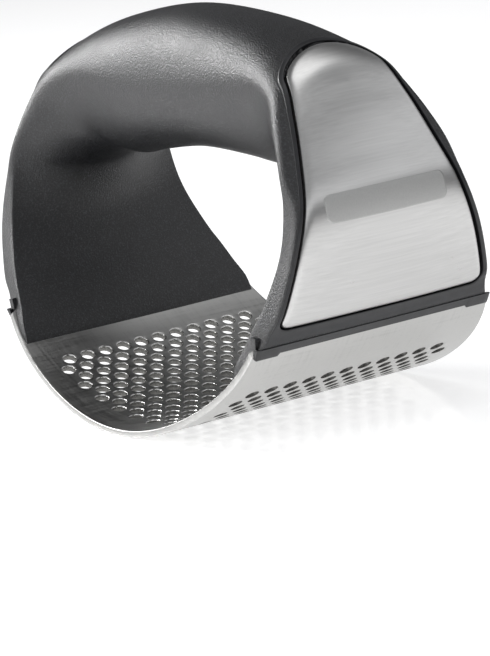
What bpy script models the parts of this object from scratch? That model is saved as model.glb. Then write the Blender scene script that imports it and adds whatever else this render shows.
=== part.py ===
"""Rocker garlic press: a bent, perforated steel sheet closed into a loop by a saddle-shaped plastic handle.

Metres, +Z up. The tool rocks along X, and its sheet is bent about Y. It is symmetric about Y = 0, and about X = 0
apart from its rows of holes. The origin is the middle of the sheet's lowest facet.
"""

import math

import bmesh
import bpy
import numpy as np
from mathutils import Matrix, Vector

MM = 0.001
GAP = 0.3 * MM  # between pieces that touch on the real tool

# Perforated sheet. A run is a distance along the sheet from its middle.
HOLE_PITCH = 4.2 * MM  # hole to hole along Y
ROW_PITCH = 3.17 * MM  # row to row along the run
ROW_OFFSET = 0.8 * MM  # of the middle row from the middle of the sheet
ROWS = 23
SHORT_ROW = 11  # holes in the first, third, ... row; the rows between hold one more
HOLE_RADIUS = 1.45 * MM
SHEET_THICKNESS = 1.3 * MM
SHEET_HALF_WIDTH = 30.7 * MM  # at the middle
SHEET_TAPER = 3.8 * MM  # how much narrower each side is at BEND_SPAN
BEND = 16.4  # curvature at the middle, 1/m
BEND_SPAN = 46.2 * MM
BEND_GROWTH = (-0.55, 0.73, -0.08)  # of the heading, with even powers of run / BEND_SPAN
FLAT_RUN = 2.4 * MM  # the facet that the tool rests on is flat
INNER_WALL_RUN = 38.4 * MM  # the handle hides the sheet's inner face beyond this run
LIP_RUN = 49.2 * MM  # the handle hides the sheet's outer face beyond this run
TONGUE_START = 49.6 * MM  # past this run the sheet is a narrower tongue
TONGUE_RUN = 52.0 * MM  # the sheet's end, inside its slot
TONGUE_HALF_WIDTH = 23.0 * MM
TONGUE_HEADING = math.radians(82)

# Handle sections from the joint with the sheet (station 0) to the top of the grip (station 10), in mm.
# Each row: outer edge x, z; inner edge x, z; half width at the outer and inner edge; outer and inner crown;
# roundness of the outer and inner crown (0.5 is an ellipse, 1 a parabola, over 1 a soft bell); side bulge.
STATIONS = (
    (43.1, 13.6, 35.5, 10.2, 27.2, 27.7, 0.2, 0.0, 1.0, 1.6, 0.0),
    (47.8, 21.8, 42.4, 21.7, 24.5, 25.1, 0.6, 0.3, 1.0, 1.6, 0.0),
    (50.9, 26.3, 46.3, 27.9, 23.4, 23.2, 1.2, 0.8, 1.0, 1.6, 0.0),
    (53.6, 35.6, 49.4, 36.2, 21.0, 20.7, 1.4, 2.0, 1.0, 1.6, 0.0),
    (53.9, 44.0, 49.8, 43.8, 18.5, 19.1, 1.6, 4.5, 1.0, 1.6, 0.3),
    (51.3, 51.7, 48.5, 50.3, 16.3, 18.1, 1.6, 8.0, 1.0, 1.3, 1.2),
    (47.5, 59.8, 44.5, 57.2, 14.1, 15.9, 2.0, 12.7, 0.9, 1.0, 1.3),
    (42.9, 65.8, 40.1, 62.2, 12.2, 13.3, 3.0, 16.9, 0.8, 0.8, 1.4),
    (34.0, 68.4, 32.3, 64.4, 11.0, 11.8, 4.9, 18.0, 0.6, 0.6, 1.4),
    (20.2, 67.8, 19.6, 64.4, 11.3, 12.0, 8.8, 15.6, 0.5, 0.5, 1.0),
    (0.0, 66.6, 0.0, 63.6, 11.7, 12.2, 12.0, 13.3, 0.5, 0.5, 0.6),
)
TOP_STATION = len(STATIONS) - 1
RINGS_PER_STATION = 2
SECTION_POINTS = 11  # on each of a section's two faces

# Side covers and inlays on the arms' outer faces. Depths are below the outer face, along the section.
COVER_BOTTOM = 0.76  # station
COVER_SHOULDER = 6.8  # station where the outline leaves the arm's edge
COVER_TIP = 7.8
COVER_MARGIN = 0.7 * MM
COVER_DEPTH = 2.4 * MM
COVER_LIP_DEPTH = 1.0 * MM  # below the inlay, over the sheet's tongue
COVER_LIP_TOP = 1.1  # station
POCKET_GAP = 0.45 * MM  # under the cover, whose curved floor is built from flat facets
INLAY_BOTTOM = 1.3
INLAY_SHOULDER = 6.6
INLAY_TIP = 7.6
INLAY_MARGIN = 1.6 * MM
INLAY_PROUD = 0.3 * MM
INLAY_DEPTH = 0.5 * MM
PAD_THICKNESS = 0.3 * MM
PAD_INSET = 1.2 * MM
RECESS_DEPTH = INLAY_DEPTH + PAD_THICKNESS + 2 * GAP  # of the cover's floor, under the inlay and its pad
PATCH_ROWS = 11
PATCH_COLUMNS = 6

# Countersunk screws through each cover's floor, hidden by the inlay: station and fraction of the half width.
SCREW_PLACES = ((2.6, -0.6), (2.6, 0.6), (5.2, -0.5), (5.2, 0.5))
SCREW_HEAD_RADIUS = 1.7 * MM
SCREW_RADIUS = 0.9 * MM
SCREW_HEAD_HEIGHT = 0.8 * MM
SCREW_LENGTH = 4.2 * MM
SCREW_SIDES = 12

# Plugs that close the ends of the sheet's slots.
PLUG_LENGTH = 2.4 * MM

# Lip strips: the lowest edge of each arm, over the sheet's outer face, with a tab at each corner.
LIP_HALF_WIDTH = 26.1 * MM
LIP_TOP_STATION = 0.7
LIP_TOP_RUN = 49.3 * MM
LIP_THICKNESS = 0.9 * MM
TAB_WIDTH = 4.8 * MM
TAB_DROP = 0.6 * MM

COLOURS = {
    "textured_plastic": ((0.045, 0.046, 0.05), 0.55, 0.0),
    "satin_plastic": ((0.03, 0.03, 0.033), 0.4, 0.0),
    "brushed_steel": ((0.72, 0.71, 0.69), 0.3, 1.0),
    "sheet_steel": ((0.62, 0.61, 0.6), 0.35, 1.0),
    "adhesive": ((0.75, 0.74, 0.7), 0.7, 0.0),
    "screw_steel": ((0.4, 0.4, 0.42), 0.35, 1.0),
}
SIDES = (("left", -1), ("right", 1))


def clear_scene():
    for thing in list(bpy.data.objects):
        bpy.data.objects.remove(thing, do_unlink=True)


def new_collection(name):
    collection = bpy.data.collections.new(name)
    bpy.context.scene.collection.children.link(collection)
    return collection


def material(name):
    found = bpy.data.materials.get(name)
    if found:
        return found
    colour, roughness, metallic = COLOURS[name]
    made = bpy.data.materials.new(name)
    made.use_nodes = True
    shader = made.node_tree.nodes["Principled BSDF"]
    shader.inputs["Base Color"].default_value = (*colour, 1)
    shader.inputs["Roughness"].default_value = roughness
    shader.inputs["Metallic"].default_value = metallic
    return made


def add_part(name, mesh, material_name):
    part = bpy.data.objects.new(name, mesh)
    PARTS.objects.link(part)
    mesh.materials.append(material(material_name))
    mesh.shade_smooth()
    mesh.set_sharp_from_angle(angle=math.radians(30))
    return part


def cut(part, mesh, name):
    """Subtract a mesh from a part, with a hidden cutter object."""
    cutter = bpy.data.objects.new(name, mesh)
    CUTTERS.objects.link(cutter)
    cutter.hide_render = True
    cutter.display_type = "WIRE"
    boolean = part.modifiers.new(name, "BOOLEAN")
    boolean.operation = "DIFFERENCE"
    boolean.solver = "EXACT"
    boolean.object = cutter


def closed_mesh(name, form):
    """A mesh from a bmesh, with its faces turned outwards."""
    bmesh.ops.recalc_face_normals(form, faces=form.faces)
    mesh = bpy.data.meshes.new(name)
    form.to_mesh(mesh)
    form.free()
    return mesh


def skin(form, loops):
    """Side faces between neighbouring closed loops of vertices, and a cap at each end."""
    rings = [[form.verts.new(point) for point in loop] for loop in loops]
    for ring, following in zip(rings, rings[1:]):
        for k in range(len(ring)):
            j = (k + 1) % len(ring)
            form.faces.new((ring[k], ring[j], following[j], following[k]))
    form.faces.new(rings[0])
    form.faces.new(rings[-1])


# ---- sheet ----


def sheet_heading(run):
    """Slope angle of the sheet at a distance along it from the middle."""
    if abs(run) > LIP_RUN:
        return math.copysign(TONGUE_HEADING, run)
    if abs(run) < FLAT_RUN:
        return 0.0
    share = (run / BEND_SPAN) ** 2
    growth = sum(factor * share ** (k + 1) for k, factor in enumerate(BEND_GROWTH))
    return BEND * run * (1 + growth)


def sheet_point(run):
    """x and z of the sheet's inner face at this run, by adding up short straight steps."""
    steps = max(1, math.ceil(abs(run) / (0.25 * MM)))
    step = run / steps
    x = z = 0.0
    for k in range(steps):
        heading = sheet_heading((k + 0.5) * step)
        x += step * math.cos(heading)
        z += step * math.sin(heading)
    return x, z


def row_run(row):
    """Run of a row of holes; row 11 is the middle one."""
    return ROW_OFFSET + (row - ROWS // 2) * ROW_PITCH


def sheet_runs(end):
    """Runs of the sheet's bend lines: halfway between the rows, then towards each end."""
    row_lines = [row_run(k - 0.5) for k in range(ROWS + 1)]
    hidden = [INNER_WALL_RUN + share * (LIP_RUN - INNER_WALL_RUN) for share in (0, 1 / 3, 2 / 3)]
    outer = [*hidden, LIP_RUN, TONGUE_START, end]
    return [-run for run in reversed(outer)] + row_lines + outer


def sheet_level():
    """Height of the inner face at the middle, so that the flat facet there lies on z = 0."""
    return SHEET_THICKNESS


def sheet_mesh(name, end, half_width):
    """The bent surface of the sheet's inner face; half_width is a function of the run."""
    form = bmesh.new()
    lines = []
    for run in sheet_runs(end):
        x, z = sheet_point(run)
        side = half_width(run)
        lines.append([form.verts.new((x, y, z + sheet_level())) for y in (-side, side)])
    for line, following in zip(lines, lines[1:]):
        form.faces.new((line[0], line[1], following[1], following[0]))
    mesh = bpy.data.meshes.new(name)
    form.to_mesh(mesh)
    form.free()
    return mesh


def sheet_half_width(run):
    if abs(run) > LIP_RUN:
        return TONGUE_HALF_WIDTH
    return SHEET_HALF_WIDTH - SHEET_TAPER * (run / BEND_SPAN) ** 2


def thicken(part, thickness, offset):
    solidify = part.modifiers.new("thickness", "SOLIDIFY")
    solidify.thickness = thickness
    solidify.offset = offset
    solidify.use_even_offset = True


def hole_cutters():
    """Six-sided punches, square to the sheet at each hole."""
    form = bmesh.new()
    for row in range(ROWS):
        run = row_run(row)
        heading = math.atan2(
            sheet_point(run + 0.5 * ROW_PITCH)[1] - sheet_point(run - 0.5 * ROW_PITCH)[1],
            sheet_point(run + 0.5 * ROW_PITCH)[0] - sheet_point(run - 0.5 * ROW_PITCH)[0],
        )
        x, z = sheet_point(run)
        count = SHORT_ROW + row % 2
        for k in range(count):
            y = (k - (count - 1) / 2) * HOLE_PITCH
            place = Matrix.Translation((x, y, z + sheet_level())) @ Matrix.Rotation(-heading, 4, "Y")
            bmesh.ops.create_cone(
                form,
                cap_ends=True,
                segments=6,
                radius1=HOLE_RADIUS,
                radius2=HOLE_RADIUS,
                depth=4 * SHEET_THICKNESS,
                matrix=place,
            )
    return closed_mesh("hole_punches", form)


def make_sieve_plate():
    plate = add_part("sieve_plate", sheet_mesh("sieve_plate", TONGUE_RUN, sheet_half_width), "sheet_steel")
    thicken(plate, SHEET_THICKNESS, OUTWARDS)
    cut(plate, hole_cutters(), "hole_punches")


# ---- handle sections ----


def station_values(station):
    """The handle's section values between two stations, on a smooth curve through all of them."""
    low = min(int(station), TOP_STATION - 1)
    rows = []
    for k in range(low - 1, low + 3):
        if k < 0:
            rows.append(2 * np.array(STATIONS[0]) - np.array(STATIONS[1]))
        elif k > TOP_STATION:
            mirrored = np.array(STATIONS[2 * TOP_STATION - k])
            mirrored[[0, 2]] *= -1
            rows.append(mirrored)
        else:
            rows.append(np.array(STATIONS[k]))
    before, start, end, after = rows
    t = station - low
    return 0.5 * (
        2 * start
        + (end - before) * t
        + (2 * before - 5 * start + 4 * end - after) * t**2
        + (3 * start - before - 3 * end + after) * t**3
    )


def face_point(station, across, outer=True, lift=0.0, side=1):
    """A point on the handle's outer or inner face; across runs from -1 to 1 over the width."""
    values = station_values(station)
    lengths = values[:8] * MM
    outer_edge, inner_edge = lengths[0:2], lengths[2:4]
    outwards = (outer_edge - inner_edge) / np.linalg.norm(outer_edge - inner_edge)
    fullness = max(0.0, 1 - across**2)
    if outer:
        x, z = outer_edge + outwards * (lengths[6] * fullness ** values[8] + lift)
        y = across * lengths[4]
    else:
        x, z = inner_edge - outwards * lengths[7] * fullness ** values[9]
        y = across * lengths[5]
    return Vector((side * x, y, z))


def section_loop(station, side):
    across = [math.sin(math.radians(angle)) for angle in np.linspace(-90, 90, SECTION_POINTS)]
    outer = [face_point(station, a, side=side) for a in across]
    inner = [face_point(station, a, outer=False, side=side) for a in reversed(across)]
    bulge = Vector((0, station_values(station)[10] * MM, 0))
    back_side = 0.5 * (outer[-1] + inner[0]) + bulge
    front_side = 0.5 * (inner[-1] + outer[0]) - bulge
    return outer + [back_side] + inner + [front_side]


def half_width(station):
    return station_values(station)[4] * MM


def outline_share(station, shoulder, tip):
    """Share of the half width that a bell-shaped outline reaches: all of it, then an ellipse to the tip."""
    if station <= shoulder:
        return 1.0
    return math.sqrt(max(0.0, 1 - ((station - shoulder) / (tip - shoulder)) ** 2))


def patch_mesh(name, side, bottom, shoulder, tip, margin, top_lift, bottom_lift):
    """A bell-shaped plate that follows the arm's outer face; the lifts are functions of the station."""
    tip_angle = math.radians(80)  # stops just short of the tip, where the outline closes
    rows = list(np.linspace(bottom, shoulder, PATCH_ROWS - 4))
    rows += [shoulder + (tip - shoulder) * math.sin(tip_angle * k / 4) for k in range(1, 5)]
    form = bmesh.new()
    sheets = []
    for lift in (top_lift, bottom_lift):
        grid = []
        for station in rows:
            reach = 1 - margin / half_width(station)
            reach *= outline_share(station, shoulder, tip)
            columns = np.linspace(-reach, reach, PATCH_COLUMNS + 1)
            grid.append([form.verts.new(face_point(station, a, lift=lift(station), side=side)) for a in columns])
        sheets.append(grid)
    for grid in sheets:
        for line, following in zip(grid, grid[1:]):
            for k in range(PATCH_COLUMNS):
                form.faces.new((line[k], line[k + 1], following[k + 1], following[k]))
    rims = [rim_of(grid) for grid in sheets]
    for k in range(len(rims[0])):
        j = (k + 1) % len(rims[0])
        form.faces.new((rims[0][k], rims[0][j], rims[1][j], rims[1][k]))
    return closed_mesh(name, form)


def rim_of(grid):
    """The vertices round the edge of a grid, in order."""
    right = [line[-1] for line in grid[1:]]
    left = [line[0] for line in grid[1:-1]]
    return grid[0] + right + list(reversed(grid[-1]))[1:] + list(reversed(left))


def level(lift):
    return lambda station: lift


def cover_floor(extra):
    """The cover's inner face: shallow over the sheet's tongue, deeper behind the inlay."""

    def lift(station):
        deep = min(1.0, max(0.0, (station - COVER_LIP_TOP) / 0.5))
        return -(COVER_LIP_DEPTH + deep * (COVER_DEPTH - COVER_LIP_DEPTH)) - extra

    return lift


# ---- handle parts ----


def make_handle_body():
    steps = TOP_STATION * RINGS_PER_STATION
    stations = [k / RINGS_PER_STATION for k in range(steps + 1)]
    loops = [section_loop(station, -1) for station in stations]
    loops += [section_loop(station, 1) for station in reversed(stations[:-1])]
    form = bmesh.new()
    skin(form, loops)
    body = add_part("handle_body", closed_mesh("handle_body", form), "textured_plastic")
    cut_sheet_slot(body)
    for name, side in SIDES:
        cut(body, lip_room(side), f"lip_room_{name}")
        pocket = patch_mesh(
            f"cover_pocket_{name}", side, COVER_BOTTOM - 0.04, COVER_SHOULDER, COVER_TIP + 0.05,
            COVER_MARGIN - GAP, level(6 * MM), cover_floor(POCKET_GAP),
        )  # fmt: skip
        cut(body, pocket, f"cover_pocket_{name}")
        for number, place in enumerate(SCREW_PLACES, 1):
            cut(body, screw_mesh(place, side, hole=True), f"screw_hole_{name}_{number}")
    return body


def cut_sheet_slot(body):
    """A slot for the sheet's ends, open at the body's end faces so that the sheet slides in."""
    past_body = 32 * MM
    surface = sheet_mesh("sheet_slot", TONGUE_RUN + GAP, level(past_body))
    slot = bpy.data.objects.new("sheet_slot", surface)
    CUTTERS.objects.link(slot)
    thicken(slot, SHEET_THICKNESS + 2 * GAP, OUTWARDS)
    slot.location = (0, 0, GAP)
    slot.hide_render = True
    slot.display_type = "WIRE"
    boolean = body.modifiers.new("sheet_slot", "BOOLEAN")
    boolean.object = slot
    boolean.operation = "DIFFERENCE"
    boolean.solver = "EXACT"


def make_side_cover(name, side):
    cover = patch_mesh(
        f"side_cover_{name}", side, COVER_BOTTOM, COVER_SHOULDER, COVER_TIP, COVER_MARGIN,
        level(0.0), cover_floor(0.0),
    )  # fmt: skip
    part = add_part(f"side_cover_{name}", cover, "satin_plastic")
    recess = patch_mesh(
        f"inlay_recess_{name}", side, INLAY_BOTTOM - 0.05, INLAY_SHOULDER, INLAY_TIP + 0.05,
        INLAY_MARGIN - GAP, level(4 * MM), level(-RECESS_DEPTH),
    )  # fmt: skip
    cut(part, recess, f"inlay_recess_{name}")
    for number, place in enumerate(SCREW_PLACES, 1):
        cut(part, screw_mesh(place, side, hole=True), f"cover_hole_{name}_{number}")


def make_inlay(name, side):
    plate = patch_mesh(
        f"steel_inlay_{name}", side, INLAY_BOTTOM, INLAY_SHOULDER, INLAY_TIP, INLAY_MARGIN,
        level(INLAY_PROUD), level(-INLAY_DEPTH),
    )  # fmt: skip
    add_part(f"steel_inlay_{name}", plate, "brushed_steel")
    pad = patch_mesh(
        f"adhesive_pad_{name}", side, INLAY_BOTTOM + 0.15, INLAY_SHOULDER, INLAY_TIP - 0.15,
        INLAY_MARGIN + PAD_INSET, level(-(INLAY_DEPTH + GAP)), level(-(INLAY_DEPTH + GAP + PAD_THICKNESS)),
    )  # fmt: skip
    add_part(f"adhesive_pad_{name}", pad, "adhesive")


def screw_mesh(place, side, hole=False):
    """A countersunk screw, square to the arm's outer face, with its head in the cover's floor, or its hole."""
    station, across = place
    top = RECESS_DEPTH + GAP
    head = face_point(station, across, lift=-top, side=side)
    along = face_point(station, across, lift=-top - 1 * MM, side=side) - head
    turn = Vector((0, 0, -1)).rotation_difference(along).to_matrix().to_4x4()
    room = GAP if hole else 0.0
    profile = [
        (SCREW_HEAD_RADIUS + room, 0.0),
        (SCREW_RADIUS + room, -SCREW_HEAD_HEIGHT),
        (SCREW_RADIUS + room, -SCREW_LENGTH - room),
    ]
    if hole:
        profile.insert(0, (SCREW_HEAD_RADIUS + room, 1.5 * MM))
    form = bmesh.new()
    angles = np.linspace(0, 2 * math.pi, SCREW_SIDES, endpoint=False)
    skin(form, [[(r * math.cos(a), r * math.sin(a), z) for a in angles] for r, z in profile])
    form.transform(Matrix.Translation(head) @ turn)
    return closed_mesh("screw", form)


def make_screws(name, side):
    for number, place in enumerate(SCREW_PLACES, 1):
        add_part(f"cover_screw_{name}_{number}", screw_mesh(place, side), "screw_steel")


def outside_sheet(run, distance):
    """x and z of a point this far outside the sheet's outer face."""
    x, z = sheet_point(run)
    heading = sheet_heading(run)
    reach = SHEET_THICKNESS + distance
    return x + reach * math.sin(heading), z - reach * math.cos(heading) + sheet_level()


def lip_room(side):
    """What the body leaves free for a lip strip: all that lies outside the sheet below the cover."""
    edge = face_point(COVER_BOTTOM, 0, lift=3 * MM)
    start = INNER_WALL_RUN - 4 * MM
    in_sheet = -0.5 * SHEET_THICKNESS
    outline = [outside_sheet(start, 8 * MM), (edge.x, edge.z)]
    outline += [outside_sheet(run, in_sheet) for run in np.linspace(LIP_TOP_RUN + GAP, start, 9)]
    form = bmesh.new()
    skin(form, [[(side * x, y, z) for x, z in outline] for y in (-32 * MM, 32 * MM)])
    return closed_mesh("lip_room", form)


def make_lip_strip(name, side):
    """The strip along an arm's lower edge; its loops run along Y, and it reaches lower at its tabs."""
    tab_start = LIP_HALF_WIDTH - TAB_WIDTH
    places = [(LIP_HALF_WIDTH, TAB_DROP), (tab_start, TAB_DROP), (tab_start - 0.3 * MM, 0.0)]
    places = [(-y, drop) for y, drop in places] + [(y, drop) for y, drop in reversed(places)]
    edge = face_point(LIP_TOP_STATION, 0)
    loops = []
    for y, drop in places:
        outline = [
            outside_sheet(LIP_RUN - 0.05 * MM - drop, GAP),
            outside_sheet(LIP_RUN - 0.05 * MM - drop, GAP + LIP_THICKNESS),
            (edge.x, edge.z),
            outside_sheet(LIP_TOP_RUN, GAP),
        ]
        loops.append([(side * x, y, z) for x, z in outline])
    form = bmesh.new()
    skin(form, loops)
    add_part(f"lip_strip_{name}", closed_mesh("lip_strip", form), "satin_plastic")


def make_slot_plug(name, side, end_name, end):
    """A plug in the open end of the sheet's slot, beyond the sheet's tongue."""
    runs = (TONGUE_START + GAP, TONGUE_RUN)
    points = [sheet_point(run) for run in runs]
    inwards = (-math.sin(TONGUE_HEADING), math.cos(TONGUE_HEADING))
    outline = [points[0], points[1]]
    outline += [(x - inwards[0] * SHEET_THICKNESS, z - inwards[1] * SHEET_THICKNESS) for x, z in reversed(points)]
    start = TONGUE_HALF_WIDTH + GAP
    form = bmesh.new()
    loops = [
        [(side * x, end * y, z + sheet_level()) for x, z in outline] for y in (start, start + PLUG_LENGTH)
    ]
    skin(form, loops)
    add_part(f"slot_plug_{name}_{end_name}", closed_mesh("slot_plug", form), "textured_plastic")


clear_scene()
PARTS = new_collection("garlic_press")
CUTTERS = new_collection("cutters")
OUTWARDS = 1.0  # Solidify offset that grows the sheet away from the inside of its bend
make_sieve_plate()
make_handle_body()
for side_name, side_sign in SIDES:
    make_side_cover(side_name, side_sign)
    make_inlay(side_name, side_sign)
    make_screws(side_name, side_sign)
    make_lip_strip(side_name, side_sign)
    for plug_end_name, plug_end in (("front", -1), ("back", 1)):
        make_slot_plug(side_name, side_sign, plug_end_name, plug_end)
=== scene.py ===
"""Looks of the rocker garlic press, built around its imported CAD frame.

The press rocks along X, its sheet is bent about Y, and it stands on Z = 0. Lengths are in metres.
Its handle and sheet follow the same section table and bend as the CAD part, with a finer surface.
"""

import math

import bmesh
import bpy
import numpy as np
from mathutils import Matrix, Vector


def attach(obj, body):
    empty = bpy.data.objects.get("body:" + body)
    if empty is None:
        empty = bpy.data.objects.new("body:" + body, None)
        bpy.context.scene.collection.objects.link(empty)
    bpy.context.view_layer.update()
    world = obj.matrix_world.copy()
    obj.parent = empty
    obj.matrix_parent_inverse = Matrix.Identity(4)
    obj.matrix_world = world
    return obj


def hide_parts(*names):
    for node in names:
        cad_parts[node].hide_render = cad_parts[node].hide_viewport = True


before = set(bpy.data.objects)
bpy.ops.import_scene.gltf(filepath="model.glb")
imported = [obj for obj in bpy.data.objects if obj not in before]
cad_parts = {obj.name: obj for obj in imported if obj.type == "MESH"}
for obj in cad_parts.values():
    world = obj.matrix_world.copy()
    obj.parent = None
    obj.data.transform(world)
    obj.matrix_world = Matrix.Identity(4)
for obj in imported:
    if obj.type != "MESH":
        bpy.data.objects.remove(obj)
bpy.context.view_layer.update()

MM = 0.001
SIDES = (("left", -1), ("right", 1))

# Perforated sheet. A run is a distance along the sheet's inner face from its middle.
HOLE_PITCH = 4.2 * MM
ROW_PITCH = 3.17 * MM
ROW_OFFSET = 0.8 * MM
ROWS = 23
SHORT_ROW = 11
HOLE_RADIUS = 1.34 * MM
RIM_RADIUS = 1.56 * MM
SHEET_THICKNESS = 1.3 * MM
SHEET_HALF_WIDTH = 30.7 * MM
SHEET_TAPER = 3.8 * MM
BEND = 16.4
BEND_SPAN = 46.2 * MM
BEND_GROWTH = (-0.55, 0.73, -0.08)
LIP_RUN = 49.2 * MM
SHEET_END = 49.7 * MM
CURVE_END = 56 * MM  # the sheet's curve is worked out this far, past the sheet's end
CURVE_POINTS = 1121

# Handle sections in mm, as in the CAD part: outer edge x, z; inner edge x, z; half width at the outer and
# inner edge; outer and inner crown; roundness of the outer and inner crown; side bulge.
STATIONS = (
    (43.1, 13.6, 35.5, 10.2, 27.2, 27.7, 0.2, 0.0, 1.0, 1.6, 0.0),
    (47.8, 21.8, 42.4, 21.7, 24.5, 25.1, 0.6, 0.3, 1.0, 1.6, 0.0),
    (50.9, 26.3, 46.3, 27.9, 23.4, 23.2, 1.2, 0.8, 1.0, 1.6, 0.0),
    (53.6, 35.6, 49.4, 36.2, 21.0, 20.7, 1.4, 2.0, 1.0, 1.6, 0.0),
    (53.9, 44.0, 49.8, 43.8, 18.5, 19.1, 1.6, 4.5, 1.0, 1.6, 0.3),
    (51.3, 51.7, 48.5, 50.3, 16.3, 18.1, 1.6, 8.0, 1.0, 1.3, 1.2),
    (47.5, 59.8, 44.5, 57.2, 14.1, 15.9, 2.0, 12.7, 0.9, 1.0, 1.3),
    (42.9, 65.8, 40.1, 62.2, 12.2, 13.3, 3.0, 16.9, 0.8, 0.8, 1.4),
    (34.0, 68.4, 32.3, 64.4, 11.0, 11.8, 4.9, 18.0, 0.6, 0.6, 1.4),
    (20.2, 67.8, 19.6, 64.4, 11.3, 12.0, 8.8, 15.6, 0.5, 0.5, 1.0),
    (0.0, 66.6, 0.0, 63.6, 11.7, 12.2, 12.0, 13.3, 0.5, 0.5, 0.6),
)
TOP_STATION = len(STATIONS) - 1
OUTER_EDGE = slice(0, 2)
INNER_EDGE = slice(2, 4)
OUTER_HALF, INNER_HALF, OUTER_CROWN, INNER_CROWN, OUTER_ROUND, INNER_ROUND, SIDE_BULGE = range(4, 11)

# Side covers and inlays. A length runs along the arm's outer face from station 0.
COVER_BOTTOM = 0.77
COVER_SHOULDER = 6.95
COVER_TIP = 7.8
COVER_MARGIN = 0.35 * MM
INLAY_BOTTOM = 1.27
INLAY_SHOULDER = 6.9
INLAY_TIP = 7.6
INLAY_MARGIN = 1.72 * MM
INLAY_CORNER = 2.4 * MM
GROOVE = 0.55 * MM
INLAY_PROUD = 0.25 * MM
POCKET_DEPTH = 1.3 * MM
POCKET_SHOULDER = 6.7
POCKET_TIP = 7.68
POCKET_WALL = 0.25 * MM  # over which the outer face drops to the pocket's floor

LIP_HALF_WIDTH = 26.1 * MM
LIP_TOP_STATION = 0.75
TAB_WIDTH = 4.8 * MM
TAB_DROP = 0.6 * MM
LIP_THICKNESS = 0.75 * MM


# ---- surfaces ----


def section_values(stations):
    """Rows of section values at these stations, on a smooth curve through the table and its mirror image."""
    table = np.array(STATIONS) * np.array([MM] * 8 + [1, 1, MM])
    mirrored = table[-2].copy()
    mirrored[[0, 2]] *= -1
    rows = np.vstack([2 * table[0] - table[1], table, mirrored])
    stations = np.asarray(stations, float)
    low = np.minimum(stations.astype(int), TOP_STATION - 1)
    before, start, end, after = (rows[low + k] for k in range(4))
    t = (stations - low)[..., None]
    return 0.5 * (
        2 * start
        + (end - before) * t
        + (2 * before - 5 * start + 4 * end - after) * t**2
        + (3 * start - before - 3 * end + after) * t**3
    )


def outward_directions(values):
    """Unit vectors in XZ from the inner edge to the outer edge of each section."""
    across = values[..., OUTER_EDGE] - values[..., INNER_EDGE]
    return across / np.linalg.norm(across, axis=-1)[..., None]


def outer_points(stations, y, lift=0.0, side=1):
    """Points on the outer face at these stations and distances from the middle plane."""
    values = section_values(stations)
    share = np.clip(y / values[..., OUTER_HALF], -1, 1)
    crown = values[..., OUTER_CROWN] * np.clip(1 - share**2, 0, 1) ** values[..., OUTER_ROUND]
    place = values[..., OUTER_EDGE] + outward_directions(values) * (crown + lift)[..., None]
    return np.stack([side * place[..., 0], y + 0 * crown, place[..., 1]], -1)


def sheet_curve():
    """Runs, positions, and outward directions of the sheet's inner face, closely spaced."""
    runs = np.linspace(0, CURVE_END, CURVE_POINTS)
    share = (runs / BEND_SPAN) ** 2
    growth = sum(factor * share ** (k + 1) for k, factor in enumerate(BEND_GROWTH))
    heading = BEND * runs * (1 + growth)
    step = runs[1] - runs[0]
    middle = 0.5 * (heading[1:] + heading[:-1])
    x = np.concatenate([[0], np.cumsum(step * np.cos(middle))])
    z = np.concatenate([[0], np.cumsum(step * np.sin(middle))]) + SHEET_THICKNESS
    return runs, x, z, np.sin(heading), -np.cos(heading)


SHEET_CURVE = sheet_curve()


def sheet_points(runs, y, depth, side=1):
    """Points at this depth below the sheet's inner face; negative runs lie at negative X."""
    table_runs, x, z, out_x, out_z = SHEET_CURVE
    distance = np.abs(runs)
    sign = np.where(np.asarray(runs) < 0, -1.0, 1.0) * side
    point_x = np.interp(distance, table_runs, x) + depth * np.interp(distance, table_runs, out_x)
    point_z = np.interp(distance, table_runs, z) + depth * np.interp(distance, table_runs, out_z)
    return np.stack([sign * point_x, y + 0 * point_x, point_z], -1)


def sheet_depths(points):
    """How deep points lie below the sheet's inner face, and the run nearest to them."""
    table_runs, x, z, out_x, out_z = (column[::4] for column in SHEET_CURVE)
    flat = points.reshape(-1, 3)
    dx = np.abs(flat[:, 0])[:, None] - x[None]
    dz = flat[:, 2][:, None] - z[None]
    nearest = (dx**2 + dz**2).argmin(1)
    pick = np.arange(len(flat))
    depth = dx[pick, nearest] * out_x[nearest] + dz[pick, nearest] * out_z[nearest]
    return depth.reshape(points.shape[:-1]), table_runs[nearest].reshape(points.shape[:-1])


# ---- meshes ----


def smooth_step(x):
    """From 0 to 1 as x goes from 0 to 1, level at both ends."""
    x = np.clip(x, 0, 1)
    return x * x * (3 - 2 * x)


def grid_faces(rows, columns, closed=False, start=0):
    """Faces of a grid of vertices, row by row; closed joins the last column to the first."""
    faces = []
    for r in range(rows - 1):
        for c in range(columns if closed else columns - 1):
            d = (c + 1) % columns
            a = start + r * columns
            b = a + columns
            faces.append((a + c, a + d, b + d, b + c))
    return faces


def make_piece(name, vertices, faces, material, nodes=()):
    """A smooth-shaded piece that rides on the press and stands for these CAD nodes."""
    mesh = bpy.data.meshes.new(name)
    mesh.from_pydata([tuple(v) for v in vertices], [], faces)
    mesh.validate()
    mesh.update()
    mesh.shade_smooth()
    piece = bpy.data.objects.new(name, mesh)
    bpy.context.scene.collection.objects.link(piece)
    mesh.materials.append(material)
    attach(piece, "root")
    if nodes:
        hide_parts(*nodes)
    return piece


def ring_stack(loops, close_end=True):
    """Vertices and faces of closed loops of equal length, one after the other, with a fan at the end."""
    count = len(loops[0])
    vertices = np.concatenate(loops)
    faces = grid_faces(len(loops), count, closed=True)
    if close_end:
        vertices = np.vstack([vertices, loops[-1].mean(0)])
        last = (len(loops) - 1) * count
        faces += [(last + k, last + (k + 1) % count, len(vertices) - 1) for k in range(count)]
    return vertices, faces


# ---- outlines on the arm's outer face, as (length, y) ----


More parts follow.
